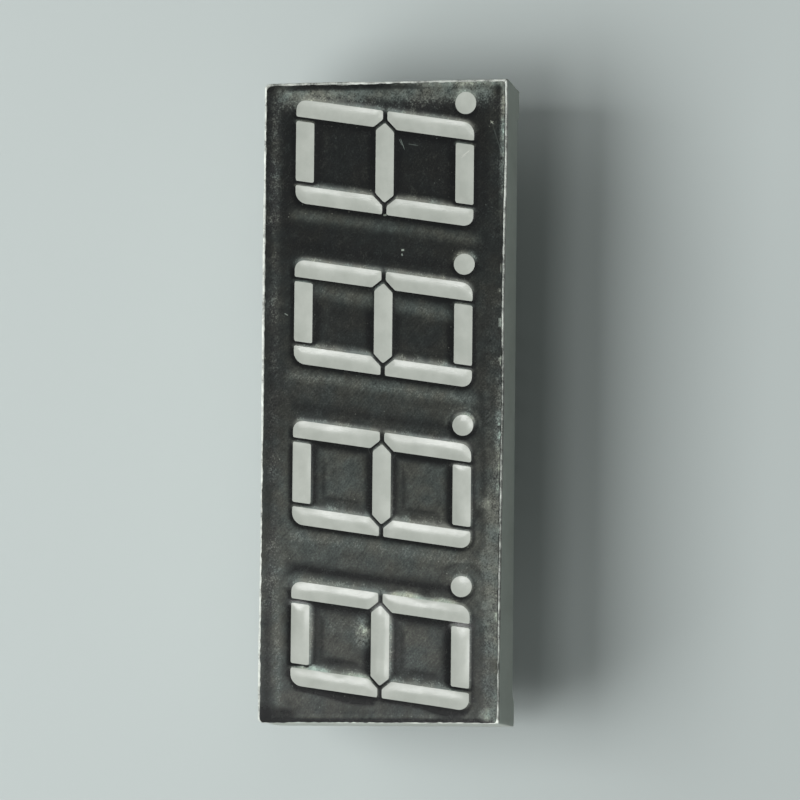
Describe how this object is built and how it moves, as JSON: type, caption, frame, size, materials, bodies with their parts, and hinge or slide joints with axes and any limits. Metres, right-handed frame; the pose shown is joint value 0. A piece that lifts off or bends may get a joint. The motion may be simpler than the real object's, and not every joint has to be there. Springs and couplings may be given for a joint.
{
  "type": "seven segment display module",
  "caption": "Oblong light emitting display with a row of slanted seven segment digits and decimal points, pale segments in a glossy black face, a white housing and two rows of round pins.",
  "frame": {"origin": "centre of the pin pattern, in the plane that the stand-off feet seat on", "axes": "+X along the row of digits, left to right; +Y towards the digits' tops; +Z out of the face"},
  "size_m": [0.0506, 0.0192, 0.0144],
  "materials": {
    "white_plastic": "satin off-white moulding",
    "black_ink": "glossy black print, a little hazy",
    "segment_resin": "milky cast resin, satin",
    "board_laminate": "glass-fibre laminate",
    "copper": "bare copper",
    "semiconductor": "light emitting crystal",
    "gold_wire": "gold",
    "tinned_steel": "tin plated wire",
    "solder": "bright solder",
    "potting_resin": "cloudy cast resin"
  },
  "bodies": {
    "root": {"housing": "white_plastic", "face_mask": "black_ink", "digit_1_segment_a": "segment_resin", "digit_1_segment_b": "segment_resin", "digit_1_segment_c": "segment_resin", "digit_1_segment_d": "segment_resin", "digit_1_segment_e": "segment_resin", "digit_1_segment_f": "segment_resin", "digit_1_segment_g": "segment_resin", "digit_1_dot": "segment_resin", "digit_2_segment_a": "segment_resin", "digit_2_segment_b": "segment_resin", "digit_2_segment_c": "segment_resin", "digit_2_segment_d": "segment_resin", "digit_2_segment_e": "segment_resin", "digit_2_segment_f": "segment_resin", "digit_2_segment_g": "segment_resin", "digit_2_dot": "segment_resin", "digit_3_segment_a": "segment_resin", "digit_3_segment_b": "segment_resin", "digit_3_segment_c": "segment_resin", "digit_3_segment_d": "segment_resin", "digit_3_segment_e": "segment_resin", "digit_3_segment_f": "segment_resin", "digit_3_segment_g": "segment_resin", "digit_3_dot": "segment_resin", "digit_4_segment_a": "segment_resin", "digit_4_segment_b": "segment_resin", "digit_4_segment_c": "segment_resin", "digit_4_segment_d": "segment_resin", "digit_4_segment_e": "segment_resin", "digit_4_segment_f": "segment_resin", "digit_4_segment_g": "segment_resin", "digit_4_dot": "segment_resin", "circuit_board": "board_laminate", "board_copper": "copper", "led_dies_1": "semiconductor", "led_dies_2": "semiconductor", "led_dies_3": "semiconductor", "led_dies_4": "semiconductor", "bond_wires_1": "gold_wire", "bond_wires_2": "gold_wire", "bond_wires_3": "gold_wire", "bond_wires_4": "gold_wire", "pin_1": "tinned_steel", "pin_2": "tinned_steel", "pin_3": "tinned_steel", "pin_4": "tinned_steel", "pin_5": "tinned_steel", "pin_6": "tinned_steel", "pin_7": "tinned_steel", "pin_8": "tinned_steel", "pin_9": "tinned_steel", "pin_10": "tinned_steel", "pin_11": "tinned_steel", "pin_12": "tinned_steel", "solder_joints": "solder", "potting": "potting_resin"}
  },
  "joints": []
}
